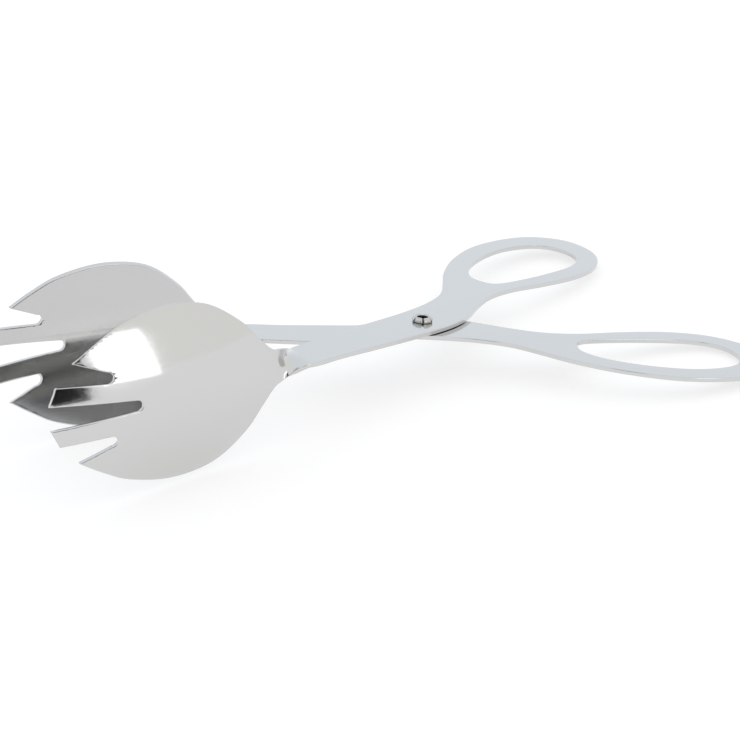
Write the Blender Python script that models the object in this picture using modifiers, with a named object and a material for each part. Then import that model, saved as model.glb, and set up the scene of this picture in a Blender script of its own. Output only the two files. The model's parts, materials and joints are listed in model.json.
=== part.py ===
"""Scissor-action ice tongs: two pressed sheet blades crossed at one hollow rivet.

Each blade is one stamping. It has a finger ring at one end, an arm that is pierced for the rivet,
a short neck where the strip is turned on edge, and a dished head with four tines. The lower blade
comes from the same blank as the upper one, turned over. Its arm is set down past the rivet, and its
head is pressed at slightly other angles. The tongs stand open on a table: the heads rest on their
lower rims and the lower ring on its end.

Units are metres and +Z is up. +X points from the heads to the rings. The origin is under the middle
of the tongs, on the table.
"""

import math

import bmesh
import bpy
from mathutils import Matrix, Vector

MM = 0.001

# The sheet, and how far the blades stand open
SHEET = 1.5 * MM
RUNNING_GAP = 0.2 * MM
HALF_OPENING = math.radians(19.4)

# The neck: the strip leaves the arm's plane along a slanting line and ends up on edge
NECK_START = 57.4 * MM
NECK_END = 66.4 * MM
NECK_SLANT = 0.41
NECK_HALF_WIDTH = 9.0 * MM
NECK_RUN_OUT = 2.6 * MM
NECK_TENSION = 0.8

# The head, measured from the end of the neck
HEAD_REACH = 77.6 * MM
DISH_RADIUS_ACROSS = 59.0 * MM
DISH_RADIUS_ALONG = 111.0 * MM

# Where the lower blade's arm is set down, just past the rivet
SET_START = -5.0 * MM
SET_END = -22.0 * MM

# How each blade is pressed: its head's three angles, and how far its arm is set down
UPPER_PRESS = {"lean": math.radians(85.0), "splay": math.radians(5.2), "drop": math.radians(3.7),
               "set_down": 0.0}
LOWER_PRESS = {"lean": math.radians(91.0), "splay": math.radians(2.0), "drop": math.radians(1.4),
               "set_down": 3.2 * MM}

# The tines: where the slots end, how wide their round ends are, and where the tips are
SIDE_SLOT_END = Vector((61.3, 10.3)) * MM
MIDDLE_SLOT_END = Vector((54.0, 0.0)) * MM
SLOT_END_RADIUS = 1.8 * MM
OUTER_TIP = Vector((69.6, 16.0)) * MM
INNER_TIP_OUTSIDE = Vector((75.2, 9.5)) * MM
INNER_TIP_INSIDE = Vector((77.6, 3.9)) * MM

# The rivet
RIVET_BORE_RADIUS = 1.6 * MM
RIVET_SHANK_RADIUS = 2.4 * MM
RIVET_HOLE_CLEARANCE = 0.1 * MM
ROLLED_END_RADIUS = 3.5 * MM
ROLLED_END_HEIGHT = 1.8 * MM
FORMED_HEAD_RADIUS = 4.2 * MM
FORMED_HEAD_HEIGHT = 1.0 * MM
PETALS = 6

# How finely the pressed part of the blank is scored, and how round things are drawn
SCORE_HEAD = 5.2 * MM
SCORE_NECK = 2.2 * MM
SCORE_SET = 2.8 * MM
SCORE_ACROSS = 6.0 * MM
SCORES_EACH_SIDE = 4
OUTLINE_STEPS = 2
SLOT_END_STEPS = 4
ROUND_STEPS = 36

# Outlines on the flat blank, in millimetres from the rivet. X runs to the ring, and Y to the side
# that the ring bulges towards.
RING_SIDE = [(-54, 7.2), (-40, 8.2), (-20, 9.2), (0, 10.0), (15, 12.0), (27, 16.3), (37, 24.2),
             (46, 31.8), (60, 40.2), (77, 45.9), (93, 45.9), (105, 41.6), (112, 32.0), (111.5, 20.5),
             (106, 11.0), (96, 4.0), (82, 1.3), (66, 2.6), (52, 4.9), (40, 4.2), (29, 0.2),
             (17, -5.6), (5, -8.4), (-12, -8.8), (-30, -8.3), (-46, -7.6), (-58, -7.8)]
FINGER_OPENING = [(49.4, 17.5), (51.6, 12.4), (60, 10.3), (75, 9.2), (89, 9.8), (97.5, 13.6),
                  (102, 21), (101.6, 29.5), (96, 35.2), (84, 37.8), (70, 35.4), (58, 30.2), (50.8, 23.5)]
# The head's rim, as reach from the neck and half width
RIM = [(0.5, 5.6), (5.0, 6.7), (9.8, 11.6), (15.5, 18.4), (26.0, 25.9), (40.0, 27.8), (54.0, 24.9),
       (63.0, 20.3)]


def clear_scene():
    """Remove every object that the opened file holds."""
    for item in list(bpy.data.objects):
        bpy.data.objects.remove(item, do_unlink=True)


def new_collection(name):
    """Make a collection and show it in the scene."""
    made = bpy.data.collections.new(name)
    bpy.context.scene.collection.children.link(made)
    return made


def steel(name, colour, roughness):
    """Polished stainless steel as a plain Principled material."""
    made = bpy.data.materials.new(name)
    made.use_nodes = True
    shader = made.node_tree.nodes["Principled BSDF"]
    shader.inputs["Base Color"].default_value = (*colour, 1.0)
    shader.inputs["Metallic"].default_value = 1.0
    shader.inputs["Roughness"].default_value = roughness
    return made


def between(before, start, end, after, t):
    """A point on the Catmull-Rom curve from start to end."""
    return 0.5 * (2.0 * start + (end - before) * t
                  + (2.0 * before - 5.0 * start + 4.0 * end - after) * t ** 2
                  + (3.0 * start - before - 3.0 * end + after) * t ** 3)


def smooth_run(points, steps):
    """Points on a smooth curve through the given ones, with both ends."""
    padded = [points[0]] + list(points) + [points[-1]]
    run = []
    for index in range(len(points) - 1):
        four = [Vector(p) for p in padded[index:index + 4]]
        run += [between(*four, step / steps) for step in range(steps)]
    return run + [Vector(points[-1])]


def smooth_loop(points, steps):
    """Points on a smooth closed curve through the given ones."""
    count = len(points)
    loop = []
    for index in range(count):
        four = [Vector(points[(index + k) % count]) for k in (-1, 0, 1, 2)]
        loop += [between(*four, step / steps) for step in range(steps)]
    return loop


def round_end(centre, radius, steps):
    """The inner end of a slot: a half circle that bulges towards the neck, outer side first."""
    return [centre + radius * Vector((-math.sin(a), math.cos(a)))
            for a in (math.pi * step / steps for step in range(steps + 1))]


def on_blank(reach, width):
    """A point of the head on the flat blank."""
    return Vector((-NECK_END - reach, width))


def tine_edges():
    """The edges of the three slots and the two inner tines, from one outer tip to the other."""
    centres = [Vector((SIDE_SLOT_END.x, -SIDE_SLOT_END.y)), MIDDLE_SLOT_END, SIDE_SLOT_END]
    slots = [list(reversed(round_end(centre, SLOT_END_RADIUS, SLOT_END_STEPS))) for centre in centres]
    tine = [INNER_TIP_INSIDE, INNER_TIP_OUTSIDE]
    other_tine = [Vector((p.x, -p.y)) for p in reversed(tine)]
    return slots[0] + other_tine + slots[1] + tine + slots[2]


def blank_outline():
    """The whole blade's edge on the flat blank: one flowing line round it, and then the tines."""
    rim = [on_blank(reach * MM, width * MM) for reach, width in RIM] + [on_blank(*OUTER_TIP)]
    ring_side = [Vector(p) * MM for p in RING_SIDE]
    other_rim = [Vector((p.x, -p.y)) for p in rim]
    flowing = smooth_run(list(reversed(rim)) + ring_side + other_rim, OUTLINE_STEPS)
    return flowing + [on_blank(*p) for p in tine_edges()]


def circle(radius, steps):
    """Points round the rivet's axis."""
    turns = (2.0 * math.pi * step / steps for step in range(steps))
    return [Vector((radius * math.cos(a), radius * math.sin(a))) for a in turns]


def flat_blank(name, loops):
    """Stamp the blank: a flat outline with its holes, as thick as the sheet, made a mesh."""
    curve = bpy.data.curves.new(name + "_outline", "CURVE")
    curve.dimensions = "2D"
    curve.fill_mode = "BOTH"
    curve.extrude = SHEET / 2.0
    for loop in loops:
        spline = curve.splines.new("POLY")
        spline.points.add(len(loop) - 1)
        for point, place in zip(spline.points, loop):
            point.co = (place.x, place.y, 0.0, 1.0)
        spline.use_cyclic_u = True
    outline = bpy.data.objects.new(name + "_outline", curve)
    bpy.context.scene.collection.objects.link(outline)
    evaluated = outline.evaluated_get(bpy.context.evaluated_depsgraph_get())
    mesh = bpy.data.meshes.new_from_object(evaluated)
    mesh.name = name
    bpy.data.objects.remove(outline, do_unlink=True)
    bpy.data.curves.remove(curve)
    return mesh


def score(blank, axis, places, limit):
    """Cut the blank's faces along lines, on the head's side of a limit, so that it can bend."""
    normal = Vector((0.0, 0.0, 0.0))
    normal[axis] = 1.0
    for place in places:
        faces = [f for f in blank.faces if min(v.co.x for v in f.verts) < limit]
        edges = {e for f in faces for e in f.edges}
        verts = {v for f in faces for v in f.verts}
        bmesh.ops.bisect_plane(blank, geom=list(verts) + list(edges) + faces, dist=1e-6,
                               plane_co=normal * place, plane_no=normal)


def spaced(first, last, step):
    """Places from first to last, about a step apart."""
    count = max(1, round(abs(last - first) / step))
    return [first + (last - first) * index / count for index in range(count + 1)]


def head_attitude(shape):
    """How the head is turned from the arm: on edge, leaning, splayed outwards and dropping."""
    lean, splay, drop = shape["lean"], shape["splay"], shape["drop"]
    back, out, up = Vector((-1, 0, 0)), Vector((0, -1, 0)), Vector((0, 0, 1))
    face = math.cos(lean) * up + math.sin(lean) * out
    across = math.sin(lean) * up - math.cos(lean) * out
    along = math.cos(splay) * back + math.sin(splay) * face
    face = math.cos(splay) * face - math.sin(splay) * back
    dropped = math.cos(drop) * along - math.sin(drop) * across
    across = math.cos(drop) * across + math.sin(drop) * along
    return Matrix((-dropped, across, face)).transposed()


def neck_start(y):
    """Where the strip begins to turn, at a distance y from its middle line."""
    return -NECK_START + NECK_SLANT * min(max(y, -NECK_HALF_WIDTH), NECK_HALF_WIDTH)


def on_head(reach, y, turn):
    """A point of the dished head, at a reach from the neck and a distance y from its middle line."""
    straight = Vector((-1.0, 0.0, 0.0))
    along = turn @ straight
    root = NECK_END * straight + (along - straight) * (NECK_END - NECK_START) / 2.0
    rim_start = min(reach / (10.0 * MM), 1.0)
    dish = -y ** 2 / (2.0 * DISH_RADIUS_ACROSS) * rim_start - reach ** 2 / (2.0 * DISH_RADIUS_ALONG)
    return root + reach * along + turn @ Vector((0.0, y, dish))


def in_neck(x, y, turn):
    """A point of the neck: each fibre of the strip bends smoothly from the arm to the head."""
    start, end = neck_start(y), -NECK_END - NECK_RUN_OUT
    leaves, meets = Vector((start, y, 0.0)), on_head(NECK_RUN_OUT, y, turn)
    pull = NECK_TENSION * (meets - leaves).length * Vector((-1.0, 0.0, 0.0))
    t = (start - x) / (start - end)
    return ((2 * t ** 3 - 3 * t ** 2 + 1) * leaves + (t ** 3 - 2 * t ** 2 + t) * pull
            + (3 * t ** 2 - 2 * t ** 3) * meets + (t ** 3 - t ** 2) * (turn @ pull))


def pressed(x, y, turn, set_down):
    """Where the press puts a point of the blank's middle plane."""
    if x > neck_start(y):
        place = Vector((x, y, 0.0))
    elif x > -NECK_END - NECK_RUN_OUT:
        place = in_neck(x, y, turn)
    else:
        place = on_head(-NECK_END - x, y, turn)
    t = min(max((SET_START - x) / (SET_START - SET_END), 0.0), 1.0)
    place.z -= set_down * (3 * t ** 2 - 2 * t ** 3)
    return place


def press(blank, shape):
    """Bend every point of the scored blank to the blade's shape, keeping the sheet's thickness."""
    small = 0.02 * MM
    turn, set_down = head_attitude(shape), shape["set_down"]
    for vert in blank.verts:
        x, y, height = vert.co
        if x > SET_START:
            continue
        along = pressed(x + small, y, turn, set_down) - pressed(x - small, y, turn, set_down)
        across = pressed(x, y + small, turn, set_down) - pressed(x, y - small, turn, set_down)
        vert.co = pressed(x, y, turn, set_down) + along.cross(across).normalized() * height


def add_blade(name, material, shape, side):
    """One blade in its own frame, with the rivet's axis at its origin; side -1 turns it over."""
    hole = circle(RIVET_SHANK_RADIUS + RIVET_HOLE_CLEARANCE, ROUND_STEPS)
    opening = [Vector(p) for p in smooth_loop([Vector(p) * MM for p in FINGER_OPENING], 3)]
    mesh = flat_blank(name, [blank_outline(), opening, hole])
    blank = bmesh.new()
    blank.from_mesh(mesh)
    bmesh.ops.remove_doubles(blank, verts=blank.verts, dist=1e-6)
    neck_near, neck_far = neck_start(NECK_HALF_WIDTH), -NECK_END - NECK_RUN_OUT
    widest = SCORES_EACH_SIDE * SCORE_ACROSS
    if shape["set_down"] > 0.0:
        score(blank, 0, spaced(SET_START, SET_END, SCORE_SET), SET_START)
    score(blank, 0, spaced(neck_near, neck_far, SCORE_NECK), neck_near)
    score(blank, 0, spaced(neck_far, -NECK_END - HEAD_REACH, SCORE_HEAD), neck_far)
    score(blank, 1, spaced(-widest, widest, SCORE_ACROSS), neck_near)
    bmesh.ops.triangulate(blank, faces=blank.faces)
    bmesh.ops.dissolve_degenerate(blank, edges=blank.edges, dist=1e-5)
    press(blank, shape)
    for vert in blank.verts:
        vert.co.z += side * (SHEET + RUNNING_GAP) / 2.0
        vert.co.y *= side
    if side < 0:
        bmesh.ops.reverse_faces(blank, faces=blank.faces)
    blank.to_mesh(mesh)
    blank.free()
    mesh.shade_smooth()
    mesh.set_sharp_from_angle(angle=math.radians(35.0))
    mesh.materials.append(material)
    return bpy.data.objects.new(name, mesh)


def add_rivet(material, cutters):
    """A hollow rivet: a formed head below, and above it the mouth rolled over in petals."""
    top = SHEET + RUNNING_GAP / 2.0 + RIVET_HOLE_CLEARANCE
    lift = 0.35 * MM
    profile = [(ROLLED_END_RADIUS - 0.9 * MM, top + ROLLED_END_HEIGHT),
               (ROLLED_END_RADIUS - 0.3 * MM, top + ROLLED_END_HEIGHT - lift),
               (ROLLED_END_RADIUS, top + ROLLED_END_HEIGHT / 2.0),
               (ROLLED_END_RADIUS, top + lift),
               (ROLLED_END_RADIUS - 0.25 * MM, top),
               (RIVET_SHANK_RADIUS, top),
               (RIVET_SHANK_RADIUS, -top),
               (FORMED_HEAD_RADIUS, -top),
               (FORMED_HEAD_RADIUS, -top - FORMED_HEAD_HEIGHT + lift),
               (FORMED_HEAD_RADIUS - lift, -top - FORMED_HEAD_HEIGHT),
               (RIVET_BORE_RADIUS, -top - FORMED_HEAD_HEIGHT),
               (RIVET_BORE_RADIUS, top + ROLLED_END_HEIGHT - 0.5 * MM)]
    mesh = bpy.data.meshes.new("rivet")
    section = bmesh.new()
    verts = [section.verts.new((x, 0.0, z)) for x, z in profile]
    for index, vert in enumerate(verts):
        section.edges.new((vert, verts[(index + 1) % len(verts)]))
    section.to_mesh(mesh)
    section.free()
    rivet = bpy.data.objects.new("rivet", mesh)
    screw = rivet.modifiers.new("turned", "SCREW")
    screw.steps = ROUND_STEPS
    screw.render_steps = ROUND_STEPS
    screw.use_merge_vertices = True
    screw.merge_threshold = 0.00001
    notch = rivet.modifiers.new("petals", "BOOLEAN")
    notch.object = add_notches(cutters, top)
    mesh.materials.append(material)
    return rivet


def add_notches(cutters, top):
    """The gaps between the petals: small cones whose points lie at the rivet's mouth."""
    notches = bmesh.new()
    for index in range(PETALS):
        angle = 2.0 * math.pi * (index + 0.5) / PETALS
        place = Matrix.Rotation(angle, 4, "Z") @ Matrix.Translation((3.75 * MM, 0.0, top + 1.75 * MM))
        bmesh.ops.create_cone(notches, cap_ends=True, segments=8, radius1=0.75 * MM,
                              radius2=0.5 * MM, depth=2.0 * MM,
                              matrix=place @ Matrix.Rotation(math.radians(-20.0), 4, "Y"))
    mesh = bpy.data.meshes.new("petal_notches")
    notches.to_mesh(mesh)
    notches.free()
    cutter = bpy.data.objects.new("petal_notches", mesh)
    cutter.hide_render = True
    cutter.display_type = "WIRE"
    cutters.objects.link(cutter)
    return cutter


def world_points(blades, turn):
    """The blades' vertices after a turn about the pivot."""
    return [turn @ blade.matrix_local @ vert.co for blade in blades for vert in blade.data.vertices]


def resting_tilt(blades):
    """The tilt at which the heads' lower rims and the lower ring's end touch the table together."""
    low, high = 0.0, math.radians(20.0)
    for _ in range(30):
        tilt = (low + high) / 2.0
        points = world_points(blades, Matrix.Rotation(tilt, 4, "Y"))
        heads = min(p.z for p in points if p.x < 0.0)
        rings = min(p.z for p in points if p.x > 0.0)
        if heads < rings:
            low = tilt
        else:
            high = tilt
    return tilt


def stand(frame, blades):
    """Set the tongs on the table with the origin under the middle of their box."""
    tilt = resting_tilt(blades)
    points = world_points(blades, Matrix.Rotation(tilt, 4, "Y"))
    lowest = [min(p[axis] for p in points) for axis in range(3)]
    highest = [max(p[axis] for p in points) for axis in range(3)]
    frame.rotation_euler.y = tilt
    frame.location = (-(lowest[0] + highest[0]) / 2.0, -(lowest[1] + highest[1]) / 2.0, -lowest[2])
    print("tilt", math.degrees(tilt), "pivot", tuple(frame.location))
    print("size", [highest[axis] - lowest[axis] for axis in range(3)])


def main():
    """Build the tongs."""
    clear_scene()
    parts = new_collection("ice_tongs")
    cutters = new_collection("cutters")
    blade_steel = steel("blade_steel", (0.76, 0.77, 0.78), 0.22)
    rivet_steel = steel("rivet_steel", (0.66, 0.67, 0.68), 0.3)
    frame = bpy.data.objects.new("pivot_frame", None)
    parts.objects.link(frame)
    upper = add_blade("upper_blade", blade_steel, UPPER_PRESS, 1)
    upper.rotation_euler.z = HALF_OPENING
    lower = add_blade("lower_blade", blade_steel, LOWER_PRESS, -1)
    lower.rotation_euler.z = -HALF_OPENING
    rivet = add_rivet(rivet_steel, cutters)
    for piece in (upper, lower, rivet):
        parts.objects.link(piece)
        piece.parent = frame
    bpy.context.view_layer.update()
    cutters.objects["petal_notches"].parent = frame
    stand(frame, [upper, lower])


main()
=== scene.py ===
# %% [markdown]
# # Scissor-action ice tongs in polished sheet steel
#
# The tongs are three pieces: two pressed blades that cross, and the hollow rivet that they turn on.
# The mechanical model settles where everything is and how it moves. This lesson gives each piece its
# fine surface: smooth pressings with softened edges, a rivet with its mouth rolled over in petals, and
# steel that shows how it was rolled, sheared and polished.

# %% Load the mechanical frame
import json
import math

import bmesh
import bpy
from mathutils import Matrix, Quaternion, Vector


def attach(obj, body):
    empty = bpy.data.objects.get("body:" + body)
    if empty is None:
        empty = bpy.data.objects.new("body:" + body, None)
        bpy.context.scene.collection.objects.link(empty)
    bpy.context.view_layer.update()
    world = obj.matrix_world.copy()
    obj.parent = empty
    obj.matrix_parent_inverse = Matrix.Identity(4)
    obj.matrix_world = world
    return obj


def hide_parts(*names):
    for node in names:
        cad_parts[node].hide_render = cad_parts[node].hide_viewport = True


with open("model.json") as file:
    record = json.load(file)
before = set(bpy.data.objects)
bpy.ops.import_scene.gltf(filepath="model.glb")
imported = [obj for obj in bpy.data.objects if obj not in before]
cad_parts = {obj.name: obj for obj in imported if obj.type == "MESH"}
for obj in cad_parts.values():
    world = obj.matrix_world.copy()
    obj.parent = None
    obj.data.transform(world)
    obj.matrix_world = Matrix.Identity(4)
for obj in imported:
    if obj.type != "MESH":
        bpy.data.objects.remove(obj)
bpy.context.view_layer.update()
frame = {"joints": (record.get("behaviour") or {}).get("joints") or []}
MM = 0.001

# %% [markdown]
# ## Where the blades lie
#
# Both blades are flat along the arms, and the tongs turn about the rivet at right angles to that
# plane. The heads stand taller than the rings, so on a table the whole plane leans. The hinge gives
# both facts: its place is the middle of the rivet, and its axis is the direction square to the arms.
# Each piece is modelled lying flat round the rivet, which is easy to think about, and the last step
# is one matrix that carries its mesh to its place.

# %% The rivet's place, its lean, and how far the tongs stand open
hinge = frame["joints"][0]
pivot = Vector(hinge["pos_m"])
lean = math.atan2(hinge["axis"][0], hinge["axis"][2])
# Half the angle between the two arms as the tongs stand
HALF_OPENING = math.radians(19.4)
stand = Matrix.Translation(pivot) @ Matrix.Rotation(lean, 4, "Y")
print("rivet at", tuple(round(c / MM, 1) for c in pivot), "mm, leaning", round(math.degrees(lean), 1))

# %% [markdown]
# ## The camera
#
# The tongs are seen from the side of the near head, from a little above the table, through a long
# lens that keeps the far ring nearly as large as the near one. A camera looks along its own -Z with
# its +Y up, and to_track_quat turns those two axes towards the aim. The small roll afterwards tips
# the horizon, as a camera held by hand does.

# %% The camera
CAMERA_PLACE = Vector((-0.36836, -0.78233, 0.38729))
CAMERA_AIM = Vector((-0.02002, -0.04879, 0.03000))
CAMERA_ROLL = math.radians(-4.58)
CAMERA_LENS = 138.63
SENSOR_WIDTH = 36.0

camera_data = bpy.data.cameras.new("camera")
camera_data.lens = CAMERA_LENS
camera_data.sensor_width = SENSOR_WIDTH
camera = bpy.data.objects.new("camera", camera_data)
bpy.context.scene.collection.objects.link(camera)
aim = (CAMERA_AIM - CAMERA_PLACE).to_track_quat("-Z", "Y")
camera.location = CAMERA_PLACE
camera.rotation_euler = (aim @ Quaternion((0.0, 0.0, 1.0), CAMERA_ROLL)).to_euler()
bpy.context.scene.camera = camera
print("camera", round((CAMERA_AIM - CAMERA_PLACE).length, 3), "m from its aim")

# %% [markdown]
# ## Floor and light
#
# Polished steel has almost no colour of its own: it shows the room. So the room comes first. The
# floor is a white sweep, lit so evenly that the tongs hardly shade it: part of its brightness is an
# emission, which stands for the light under a translucent table.

# %% The white floor
FLOOR_SIZE = 6.0
FLOOR_GREY = (0.42, 0.42, 0.42, 1.0)
FLOOR_GLOW = 0.62
WHITE = (1.0, 1.0, 1.0, 1.0)

floor_mesh = bpy.data.meshes.new("floor")
floor_form = bmesh.new()
bmesh.ops.create_grid(floor_form, x_segments=1, y_segments=1, size=FLOOR_SIZE / 2.0)
floor_form.to_mesh(floor_mesh)
floor_form.free()
floor = bpy.data.objects.new("floor", floor_mesh)
bpy.context.scene.collection.objects.link(floor)
floor_paint = bpy.data.materials.new("floor_paint")
floor_paint.use_nodes = True
paint = floor_paint.node_tree.nodes["Principled BSDF"]
paint.inputs["Base Color"].default_value = FLOOR_GREY
paint.inputs["Roughness"].default_value = 0.9
paint.inputs["Specular IOR Level"].default_value = 0.0
paint.inputs["Emission Color"].default_value = WHITE
paint.inputs["Emission Strength"].default_value = FLOOR_GLOW
floor_mesh.materials.append(floor_paint)
print("floor", FLOOR_SIZE, "m across")

# %% [markdown]
# ## The room
#
# The world is a white room. Its far side is a little blue, as daylight is, and its near side is
# neutral, so the flat arms, which mirror the far side, come out cooler than the heads, which mirror
# the near side. The direction of a world ray is read from its texture coordinate, and its Y part
# chooses the colour through a ramp. Steel reflects about six tenths of what it sees, so a room near
# one gives the mid grey of real stainless sheet.

# %% The room's light
NEAR_SIDE = (1.0, 0.995, 0.98, 1.0)
FAR_SIDE = (0.95, 1.0, 1.06, 1.0)
# The tint changes between these two values of a direction's Y part
TINT_STARTS = -0.4
TINT_ENDS = 0.4

world = bpy.data.worlds.new("studio")
world.use_nodes = True
bpy.context.scene.world = world
room = world.node_tree
direction = room.nodes.new("ShaderNodeTexCoord")
parts_of_it = room.nodes.new("ShaderNodeSeparateXYZ")
from_near_to_far = room.nodes.new("ShaderNodeMapRange")
from_near_to_far.inputs["From Min"].default_value = TINT_STARTS
from_near_to_far.inputs["From Max"].default_value = TINT_ENDS
tint = room.nodes.new("ShaderNodeValToRGB")
tint.color_ramp.elements[0].color = NEAR_SIDE
tint.color_ramp.elements[1].color = FAR_SIDE
room.links.new(direction.outputs["Generated"], parts_of_it.inputs["Vector"])
room.links.new(parts_of_it.outputs["Y"], from_near_to_far.inputs["Value"])
room.links.new(from_near_to_far.outputs["Result"], tint.inputs["Fac"])
room.links.new(tint.outputs["Color"], room.nodes["Background"].inputs["Color"])
bpy.context.scene.view_settings.view_transform = "Standard"
print("room tinted from", NEAR_SIDE[:3], "to", FAR_SIDE[:3])

# %% [markdown]
# ## A white card and a black flag
#
# A polished dish needs something to mirror. A bright white card to the right of the camera burns a
# white patch into the near head. A flag is a black card, hung just outside the view to put a dark
# line into metal. Both are seen by mirror rays only, so they change what the steel shows and leave
# the floor alone. The visible_ switches of an object do that.


# %% The cards
WHITE_CARD = {"place": Vector((0.098, -0.630, 0.105)), "faces": Vector((-0.3, 1.0, 0.0)),
              "width": 0.185, "height": 0.35, "brightness": 2.2}
BLACK_FLAG = {"place": Vector((-0.135, -0.215, 0.085)), "faces": Vector((0.25, 1.0, 0.0)),
              "width": 0.110, "height": 0.160, "brightness": 0.0}
CARD_BLACK = (0.01, 0.01, 0.01, 1.0)


def add_card(name, place, faces, width, height, brightness):
    """A flat card of one brightness that only mirror rays see."""
    card_mesh = bpy.data.meshes.new(name)
    card = bmesh.new()
    bmesh.ops.create_grid(card, x_segments=1, y_segments=1, size=0.5)
    bmesh.ops.scale(card, vec=(width, height, 1.0), verts=card.verts)
    turn = faces.to_track_quat("Z", "Y").to_matrix().to_4x4()
    bmesh.ops.transform(card, matrix=Matrix.Translation(place) @ turn, verts=card.verts)
    card.to_mesh(card_mesh)
    card.free()
    face = bpy.data.materials.new(name + "_face")
    face.use_nodes = True
    shader = face.node_tree.nodes["Principled BSDF"]
    shader.inputs["Base Color"].default_value = CARD_BLACK
    shader.inputs["Roughness"].default_value = 1.0
    shader.inputs["Specular IOR Level"].default_value = 0.0
    shader.inputs["Emission Color"].default_value = WHITE
    shader.inputs["Emission Strength"].default_value = brightness
    card_mesh.materials.append(face)
    hung = bpy.data.objects.new(name, card_mesh)
    bpy.context.scene.collection.objects.link(hung)
    hung.visible_camera = False
    hung.visible_diffuse = False
    hung.visible_shadow = False


add_card("white_card", **WHITE_CARD)
add_card("black_flag", **BLACK_FLAG)
print("white card and black flag hung")


# %% [markdown]
# ## Steel
#
# Sheet steel keeps a trace of each thing done to it. Rolling leaves a fine grain along the sheet,
# polishing softens the grain without taking it all away, and hands leave faint smudges. The grain is
# a noise stretched along the blade. It changes the roughness and raises a very shallow bump. The
# sheared edge is greyer, because the die tears the last part of the cut, and its streaks run through
# the sheet's thickness. The rivet's bore and its petal splits get a near-black steel: this is painted
# shade, standing for the shadow that falls into those recesses.


# %% The steels
GRAIN_DETAIL = 4.0
SMUDGES_PER_METRE = 45.0
SMUDGE_DETAIL = 3.0
BUMP_STRENGTH = 0.15
# The product of the two noises lies mostly between these
FAINTEST = 0.15
STRONGEST = 0.40


def steel(name, colour, smooth, rough, stretch, turn, bump_height):
    """Steel with grain stretched along one direction, in metres, and soft smudges over it."""
    made = bpy.data.materials.new(name)
    made.use_nodes = True
    nodes, links = made.node_tree.nodes, made.node_tree.links
    shader = nodes["Principled BSDF"]
    shader.inputs["Base Color"].default_value = (*colour, 1.0)
    shader.inputs["Metallic"].default_value = 1.0
    place = nodes.new("ShaderNodeTexCoord")
    turned = nodes.new("ShaderNodeMapping")
    turned.vector_type = "TEXTURE"
    turned.inputs["Rotation"].default_value = (0.0, 0.0, turn)
    stretched = nodes.new("ShaderNodeMapping")
    stretched.inputs["Scale"].default_value = stretch
    grain = nodes.new("ShaderNodeTexNoise")
    grain.inputs["Scale"].default_value = 1.0
    grain.inputs["Detail"].default_value = GRAIN_DETAIL
    smudge = nodes.new("ShaderNodeTexNoise")
    smudge.inputs["Scale"].default_value = SMUDGES_PER_METRE
    smudge.inputs["Detail"].default_value = SMUDGE_DETAIL
    both = nodes.new("ShaderNodeMath")
    both.operation = "MULTIPLY"
    roughness = nodes.new("ShaderNodeMapRange")
    roughness.inputs["From Min"].default_value = FAINTEST
    roughness.inputs["From Max"].default_value = STRONGEST
    roughness.inputs["To Min"].default_value = smooth
    roughness.inputs["To Max"].default_value = rough
    bump = nodes.new("ShaderNodeBump")
    bump.inputs["Strength"].default_value = BUMP_STRENGTH
    bump.inputs["Distance"].default_value = bump_height
    links.new(place.outputs["Object"], turned.inputs["Vector"])
    links.new(turned.outputs["Vector"], stretched.inputs["Vector"])
    links.new(stretched.outputs["Vector"], grain.inputs["Vector"])
    links.new(place.outputs["Object"], smudge.inputs["Vector"])
    links.new(grain.outputs["Fac"], both.inputs[0])
    links.new(smudge.outputs["Fac"], both.inputs[1])
    links.new(both.outputs["Value"], roughness.inputs["Value"])
    links.new(roughness.outputs["Result"], shader.inputs["Roughness"])
    links.new(grain.outputs["Fac"], bump.inputs["Height"])
    links.new(bump.outputs["Normal"], shader.inputs["Normal"])
    return made


ALONG_SHEET = (60.0, 2200.0, 2200.0)
THROUGH_SHEET = (2200.0, 2200.0, 150.0)
EVERY_WAY = (1500.0, 1500.0, 1500.0)
POLISHED = (0.62, 0.62, 0.612)
polish_up = steel("polished_steel_upper", POLISHED, 0.08, 0.16, ALONG_SHEET, HALF_OPENING, 0.004 * MM)
polish_low = steel("polished_steel_lower", POLISHED, 0.08, 0.16, ALONG_SHEET, -HALF_OPENING, 0.004 * MM)
sheared = steel("sheared_edge", (0.46, 0.46, 0.46), 0.22, 0.36, THROUGH_SHEET, 0.0, 0.03 * MM)
rolled_lip = steel("rolled_rivet_steel", (0.55, 0.55, 0.54), 0.14, 0.26, EVERY_WAY, 0.0, 0.01 * MM)
# Painted shade: a near-black steel for the rivet's bore and the middle of its petal splits, where shadow
# falls into the recesses
recess_shade_steel = steel("recess_painted_shade_steel", (0.05, 0.048, 0.045), 0.4, 0.6, EVERY_WAY, 0.0, 0.02 * MM)
print("five steels")

# %% [markdown]
# ## The blank
#
# Each blade starts as a flat blank, stamped from sheet. Its outline is a handful of points, joined
# by a smooth curve, because a stamping die is filed to a flowing line. A Catmull-Rom curve passes
# through every point it is given, so the points are real places on the edge.

# %% Smooth lines through a few points
SHEET = 1.5 * MM
RUNNING_GAP = 0.2 * MM


def between(before, start, end, after, t):
    """A point on the Catmull-Rom curve from start to end."""
    return 0.5 * (2.0 * start + (end - before) * t
                  + (2.0 * before - 5.0 * start + 4.0 * end - after) * t ** 2
                  + (3.0 * start - before - 3.0 * end + after) * t ** 3)


def smooth_run(points, steps):
    """Points on a smooth curve through the given ones, with both ends."""
    padded = [points[0]] + list(points) + [points[-1]]
    run = []
    for index in range(len(points) - 1):
        four = [Vector(p) for p in padded[index:index + 4]]
        run += [between(*four, step / steps) for step in range(steps)]
    return run + [Vector(points[-1])]


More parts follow.
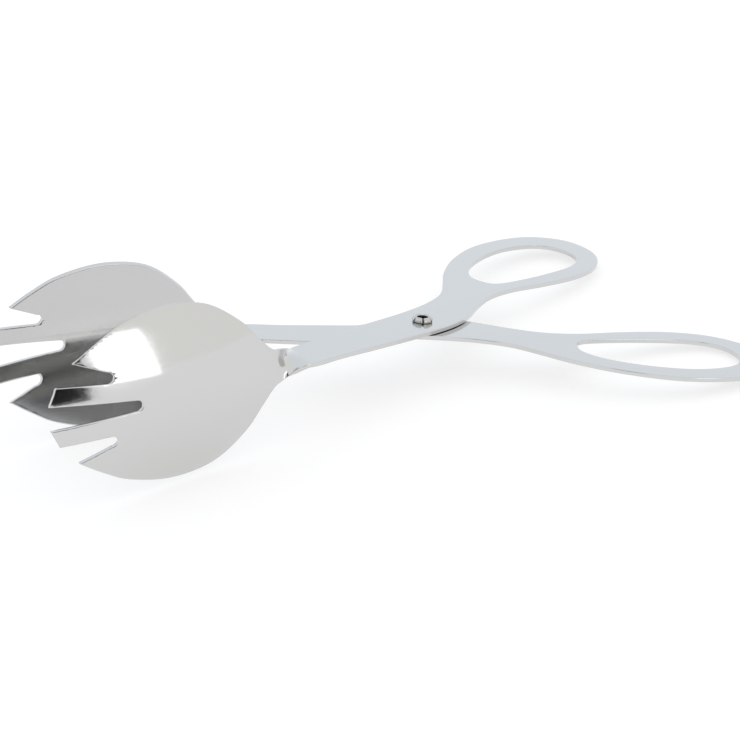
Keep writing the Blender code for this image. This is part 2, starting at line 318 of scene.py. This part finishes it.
def smooth_loop(points, steps):
    """Points on a smooth closed curve through the given ones."""
    count = len(points)
    loop = []
    for index in range(count):
        four = [Vector(points[(index + k) % count]) for k in (-1, 0, 1, 2)]
        loop += [between(*four, step / steps) for step in range(steps)]
    return loop


# %% [markdown]
# ## The outline
#
# Along the blade, X is zero at the rivet and grows towards the finger ring. The head is measured by
# its reach from the neck, so that its rim and its tines keep their shape if the arm changes length.
# Slots end in half circles, because a sharp inner corner would crack in use.

# %% The outline
NECK_START = 57.4 * MM
NECK_END = 66.4 * MM
NECK_SLANT = 0.41
NECK_HALF_WIDTH = 9.0 * MM
NECK_RUN_OUT = 2.6 * MM
NECK_TENSION = 0.8
HEAD_REACH = 77.6 * MM
DISH_RADIUS_ACROSS = 59.0 * MM
DISH_RADIUS_ALONG = 111.0 * MM
SET_START = -5.0 * MM
SET_END = -22.0 * MM
UPPER_PRESS = {"lean": math.radians(85.0), "splay": math.radians(5.2), "drop": math.radians(3.7),
               "set_down": 0.0}
LOWER_PRESS = {"lean": math.radians(91.0), "splay": math.radians(2.0), "drop": math.radians(1.4),
               "set_down": 3.2 * MM}
SIDE_SLOT_END = Vector((61.3, 10.3)) * MM
MIDDLE_SLOT_END = Vector((54.0, 0.0)) * MM
SLOT_END_RADIUS = 1.8 * MM
OUTER_TIP = Vector((69.6, 16.0)) * MM
INNER_TIP_OUTSIDE = Vector((75.2, 9.5)) * MM
INNER_TIP_INSIDE = Vector((77.6, 3.9)) * MM
RIVET_HOLE = 2.5 * MM
OUTLINE_STEPS = 6
SLOT_END_STEPS = 12
RING_SIDE = [(-54, 7.2), (-40, 8.2), (-20, 9.2), (0, 10.0), (15, 12.0), (27, 16.3), (37, 24.2),
             (46, 31.8), (60, 40.2), (77, 45.9), (93, 45.9), (105, 41.6), (112, 32.0), (111.5, 20.5),
             (106, 11.0), (96, 4.0), (82, 1.3), (66, 2.6), (52, 4.9), (40, 4.2), (29, 0.2),
             (17, -5.6), (5, -8.4), (-12, -8.8), (-30, -8.3), (-46, -7.6), (-58, -7.8)]
FINGER_OPENING = [(49.4, 17.5), (51.6, 12.4), (60, 10.3), (75, 9.2), (89, 9.8), (97.5, 13.6),
                  (102, 21), (101.6, 29.5), (96, 35.2), (84, 37.8), (70, 35.4), (58, 30.2), (50.8, 23.5)]
# The head's rim, as reach from the neck and half width
RIM = [(0.5, 5.6), (5.0, 6.7), (9.8, 11.6), (15.5, 18.4), (26.0, 25.9), (40.0, 27.8), (54.0, 24.9),
       (63.0, 20.3)]


def round_end(centre, radius, steps):
    """The inner end of a slot: a half circle that bulges towards the neck, outer side first."""
    return [centre + radius * Vector((-math.sin(a), math.cos(a)))
            for a in (math.pi * step / steps for step in range(steps + 1))]


def on_blank(reach, width):
    """A point of the head on the flat blank."""
    return Vector((-NECK_END - reach, width))


def tine_edges():
    """The edges of the three slots and the two inner tines, from one outer tip to the other."""
    centres = [Vector((SIDE_SLOT_END.x, -SIDE_SLOT_END.y)), MIDDLE_SLOT_END, SIDE_SLOT_END]
    slots = [list(reversed(round_end(centre, SLOT_END_RADIUS, SLOT_END_STEPS))) for centre in centres]
    tine = [INNER_TIP_INSIDE, INNER_TIP_OUTSIDE]
    other_tine = [Vector((p.x, -p.y)) for p in reversed(tine)]
    return slots[0] + other_tine + slots[1] + tine + slots[2]


def blank_outline():
    """The whole blade's edge on the flat blank: one flowing line round it, and then the tines."""
    rim = [on_blank(reach * MM, width * MM) for reach, width in RIM] + [on_blank(*OUTER_TIP)]
    ring_side = [Vector(p) * MM for p in RING_SIDE]
    other_rim = [Vector((p.x, -p.y)) for p in rim]
    flowing = smooth_run(list(reversed(rim)) + ring_side + other_rim, OUTLINE_STEPS)
    return flowing + [on_blank(*p) for p in tine_edges()]


def circle(radius, steps):
    """Points round the rivet's axis."""
    turns = (2.0 * math.pi * step / steps for step in range(steps))
    return [Vector((radius * math.cos(a), radius * math.sin(a))) for a in turns]


print("outline of", len(blank_outline()), "points")

# %% [markdown]
# ## Stamping
#
# A two-dimensional curve with fill on both sides makes the flat sheet with its holes in one go. Its
# extrude gives the thickness and its bevel the softened edge that tumbling leaves on a stamping. The
# bevel grows the outline, and the negative offset takes that growth back.

# %% Stamp the blank
EDGE_SOFTNESS = 0.25 * MM


def stamp(name, loops):
    """A flat curve filled between its loops, thick as the sheet, with its edges softened."""
    curve = bpy.data.curves.new(name + "_outline", "CURVE")
    curve.dimensions = "2D"
    curve.fill_mode = "BOTH"
    curve.extrude = SHEET / 2.0 - EDGE_SOFTNESS
    curve.bevel_depth = EDGE_SOFTNESS
    curve.bevel_resolution = 1
    curve.offset = -EDGE_SOFTNESS
    for loop in loops:
        spline = curve.splines.new("POLY")
        spline.points.add(len(loop) - 1)
        for point, place in zip(spline.points, loop):
            point.co = (place.x, place.y, 0.0, 1.0)
        spline.use_cyclic_u = True
    outline = bpy.data.objects.new(name + "_outline", curve)
    bpy.context.scene.collection.objects.link(outline)
    evaluated = outline.evaluated_get(bpy.context.evaluated_depsgraph_get())
    mesh = bpy.data.meshes.new_from_object(evaluated)
    mesh.name = name
    bpy.data.objects.remove(outline, do_unlink=True)
    bpy.data.curves.remove(curve)
    return mesh


# %% [markdown]
# ## Scoring
#
# A filled curve has long triangles, and they can't bend. Cutting the faces along evenly spaced lines
# gives the press points to move. Only the part that bends is cut, and the flat arm stays light.

# %% Score the part that bends
def score(blank, axis, places, limit):
    """Cut the blank's faces along lines, on the head's side of a limit, so that it can bend."""
    normal = Vector((0.0, 0.0, 0.0))
    normal[axis] = 1.0
    for place in places:
        faces = [f for f in blank.faces if min(v.co.x for v in f.verts) < limit]
        edges = {e for f in faces for e in f.edges}
        verts = {v for f in faces for v in f.verts}
        bmesh.ops.bisect_plane(blank, geom=list(verts) + list(edges) + faces, dist=1e-6,
                               plane_co=normal * place, plane_no=normal)


def spaced(first, last, step):
    """Places from first to last, about a step apart."""
    count = max(1, round(abs(last - first) / step))
    return [first + (last - first) * index / count for index in range(count + 1)]


# %% [markdown]
# ## The press
#
# The press turns a flat point into its place on the blade. The arm stays flat. In the neck, each
# fibre of the strip bends from the arm's direction to the head's on a cubic curve. The head is
# dished, more tightly across than along. The thickness follows the local normal of the middle plane,
# so the sheet stays one thickness.

# %% The press
RIM_RUN_IN = 10.0 * MM
SMALL_STEP = 0.02 * MM


def head_attitude(shape):
    """How the head is turned from the arm: on edge, leaning, splayed outwards and dropping."""
    lean, splay, drop = shape["lean"], shape["splay"], shape["drop"]
    back, out, up = Vector((-1, 0, 0)), Vector((0, -1, 0)), Vector((0, 0, 1))
    face = math.cos(lean) * up + math.sin(lean) * out
    across = math.sin(lean) * up - math.cos(lean) * out
    along = math.cos(splay) * back + math.sin(splay) * face
    face = math.cos(splay) * face - math.sin(splay) * back
    dropped = math.cos(drop) * along - math.sin(drop) * across
    across = math.cos(drop) * across + math.sin(drop) * along
    return Matrix((-dropped, across, face)).transposed()


def neck_start(y):
    """Where the strip begins to turn, at a distance y from its middle line."""
    return -NECK_START + NECK_SLANT * min(max(y, -NECK_HALF_WIDTH), NECK_HALF_WIDTH)


def on_head(reach, y, turn):
    """A point of the dished head, at a reach from the neck and a distance y from its middle line."""
    straight = Vector((-1.0, 0.0, 0.0))
    along = turn @ straight
    root = NECK_END * straight + (along - straight) * (NECK_END - NECK_START) / 2.0
    rim_start = min(reach / RIM_RUN_IN, 1.0)
    dish = -y ** 2 / (2.0 * DISH_RADIUS_ACROSS) * rim_start - reach ** 2 / (2.0 * DISH_RADIUS_ALONG)
    return root + reach * along + turn @ Vector((0.0, y, dish))


def in_neck(x, y, turn):
    """A point of the neck: each fibre of the strip bends smoothly from the arm to the head."""
    start, end = neck_start(y), -NECK_END - NECK_RUN_OUT
    leaves, meets = Vector((start, y, 0.0)), on_head(NECK_RUN_OUT, y, turn)
    pull = NECK_TENSION * (meets - leaves).length * Vector((-1.0, 0.0, 0.0))
    t = (start - x) / (start - end)
    return ((2 * t ** 3 - 3 * t ** 2 + 1) * leaves + (t ** 3 - 2 * t ** 2 + t) * pull
            + (3 * t ** 2 - 2 * t ** 3) * meets + (t ** 3 - t ** 2) * (turn @ pull))


def pressed(x, y, turn, set_down):
    """Where the press puts a point of the blank's middle plane."""
    if x > neck_start(y):
        place = Vector((x, y, 0.0))
    elif x > -NECK_END - NECK_RUN_OUT:
        place = in_neck(x, y, turn)
    else:
        place = on_head(-NECK_END - x, y, turn)
    t = min(max((SET_START - x) / (SET_START - SET_END), 0.0), 1.0)
    place.z -= set_down * (3 * t ** 2 - 2 * t ** 3)
    return place


def press(blank, shape):
    """Bend every point of the scored blank to the blade's shape, keeping the sheet's thickness."""
    turn, set_down = head_attitude(shape), shape["set_down"]
    for vert in blank.verts:
        x, y, height = vert.co
        if x > SET_START:
            continue
        along = (pressed(x + SMALL_STEP, y, turn, set_down)
                 - pressed(x - SMALL_STEP, y, turn, set_down))
        across = (pressed(x, y + SMALL_STEP, turn, set_down)
                  - pressed(x, y - SMALL_STEP, turn, set_down))
        vert.co = pressed(x, y, turn, set_down) + along.cross(across).normalized() * height


# %% [markdown]
# ## The two blades
#
# Both blades come from one blank. The lower one is turned over, so it is made with a side of minus
# one: that mirrors it and swaps its faces. Its arm is also set down just past the rivet. The walls of
# the flat blank get the sheared finish before the press bends them, because the walls are easy to
# tell apart while the sheet is still flat.

# %% The blades
SCORE = 1.5 * MM
EDGE_NORMAL = 0.3
HOLE_STEPS = 48
MERGE_DISTANCE = 1e-6
HEAD_HALF_WIDTH = 28.0 * MM


def add_blade(name, node, body, shape, side, polish):
    """One finished blade: stamped, scored, pressed, and carried to its place."""
    opening = smooth_loop([Vector(p) * MM for p in FINGER_OPENING], OUTLINE_STEPS)
    mesh = stamp(name, [blank_outline(), opening, circle(RIVET_HOLE, HOLE_STEPS)])
    blank = bmesh.new()
    blank.from_mesh(mesh)
    bmesh.ops.remove_doubles(blank, verts=blank.verts, dist=MERGE_DISTANCE)
    for face in blank.faces:
        face.normal_update()
        face.material_index = 1 if abs(face.normal.z) < EDGE_NORMAL else 0
    neck_near, neck_far = neck_start(NECK_HALF_WIDTH), -NECK_END - NECK_RUN_OUT
    if shape["set_down"] > 0.0:
        score(blank, 0, spaced(SET_START, SET_END, SCORE / 2.0), SET_START)
    score(blank, 0, spaced(neck_near, neck_far, SCORE / 2.0), neck_near)
    score(blank, 0, spaced(neck_far, -NECK_END - HEAD_REACH, SCORE), neck_far)
    score(blank, 1, spaced(-HEAD_HALF_WIDTH, HEAD_HALF_WIDTH, SCORE), neck_near)
    press(blank, shape)
    for vert in blank.verts:
        vert.co.z += side * (SHEET + RUNNING_GAP) / 2.0
        vert.co.y *= side
    if side < 0:
        bmesh.ops.reverse_faces(blank, faces=blank.faces)
    place = stand @ Matrix.Rotation(side * HALF_OPENING, 4, "Z")
    bmesh.ops.transform(blank, matrix=place, verts=blank.verts)
    blank.to_mesh(mesh)
    blank.free()
    mesh.shade_smooth()
    mesh.materials.clear()
    mesh.materials.append(polish)
    mesh.materials.append(sheared)
    blade = bpy.data.objects.new(name, mesh)
    bpy.context.scene.collection.objects.link(blade)
    even = blade.modifiers.new("even_shading", "WEIGHTED_NORMAL")
    even.weight = 100
    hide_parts(node)
    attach(blade, body)
    print(name, len(mesh.polygons), "faces")


add_blade("upper_blade_pressing", "upper_blade", "upper", UPPER_PRESS, 1, polish_up)
add_blade("lower_blade_pressing", "lower_blade", "lower", LOWER_PRESS, -1, polish_low)

# %% [markdown]
# ## The hollow rivet
#
# The rivet is a short tube. Its lower end has a formed head. Its upper end was split by a star-shaped
# punch and rolled outwards over the blade, in six petals, which is why it holds without a washer. The
# tube is one outline spun round its axis. The splits are pressed in afterwards: near each of the six
# directions the rolled lip is pulled down to the blade.

# %% The rivet
RIVET_OUTLINE = [(1.7, -2.4), (1.7, 2.7), (1.8, 3.05), (2.1, 3.32), (2.5, 3.38), (2.95, 3.25),
                 (3.3, 2.9), (3.47, 2.4), (3.4, 1.95), (3.2, 1.68), (2.4, 1.68), (2.4, -1.68),
                 (3.9, -1.68), (4.15, -1.85), (4.18, -2.2), (4.0, -2.5), (3.6, -2.58), (1.9, -2.58)]
SPIN_STEPS = 144
PETALS = 6
FIRST_SPLIT = math.radians(5.0)
SPLIT_WIDTH = math.radians(6.5)
SPLIT_DEPTH = 0.82
# How much of a split a lip face must hold before it gets the painted shade
SPLIT_PAINTED_SHADE_FROM = 0.45
LIP_ROOT = 1.7 * MM
LIP_STARTS = 2.0 * MM
SPLIT_STARTS = 2.2 * MM
BORE = 1.75 * MM


def split_here(place):
    """How much of a split is at this place round the rivet: one in its middle, and nothing far off."""
    sector = 2.0 * math.pi / PETALS
    off = (math.atan2(place.y, place.x) - FIRST_SPLIT + sector / 2.0) % sector - sector / 2.0
    return math.exp(-(off / SPLIT_WIDTH) ** 2)


tube = bmesh.new()
outline = [tube.verts.new((r * MM, 0.0, z * MM)) for r, z in RIVET_OUTLINE]
edges = [tube.edges.new((a, b)) for a, b in zip(outline, outline[1:] + outline[:1])]
bmesh.ops.spin(tube, geom=outline + edges, cent=(0, 0, 0), axis=(0, 0, 1), angle=2.0 * math.pi,
               steps=SPIN_STEPS, use_merge=True)
bmesh.ops.recalc_face_normals(tube, faces=tube.faces)
# The bore and the middle of each split get the second steel, which is near black: painted shade for
# those recesses
for face in tube.faces:
    middle = face.calc_center_median()
    on_lip = middle.z > LIP_ROOT and middle.xy.length > SPLIT_STARTS
    in_split = on_lip and split_here(middle) > SPLIT_PAINTED_SHADE_FROM
    face.material_index = 1 if in_split or middle.xy.length < BORE else 0
for vert in tube.verts:
    if vert.co.z > LIP_ROOT and vert.co.xy.length > LIP_STARTS:
        vert.co.z -= SPLIT_DEPTH * split_here(vert.co) * (vert.co.z - LIP_ROOT)
bmesh.ops.transform(tube, matrix=stand, verts=tube.verts)
rivet_mesh = bpy.data.meshes.new("hollow_rivet")
tube.to_mesh(rivet_mesh)
tube.free()
rivet_mesh.shade_smooth()
rivet_mesh.materials.append(rolled_lip)
rivet_mesh.materials.append(recess_shade_steel)
hollow_rivet = bpy.data.objects.new("hollow_rivet", rivet_mesh)
bpy.context.scene.collection.objects.link(hollow_rivet)
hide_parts("rivet")
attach(hollow_rivet, "lower")
print("hollow rivet", len(rivet_mesh.polygons), "faces")
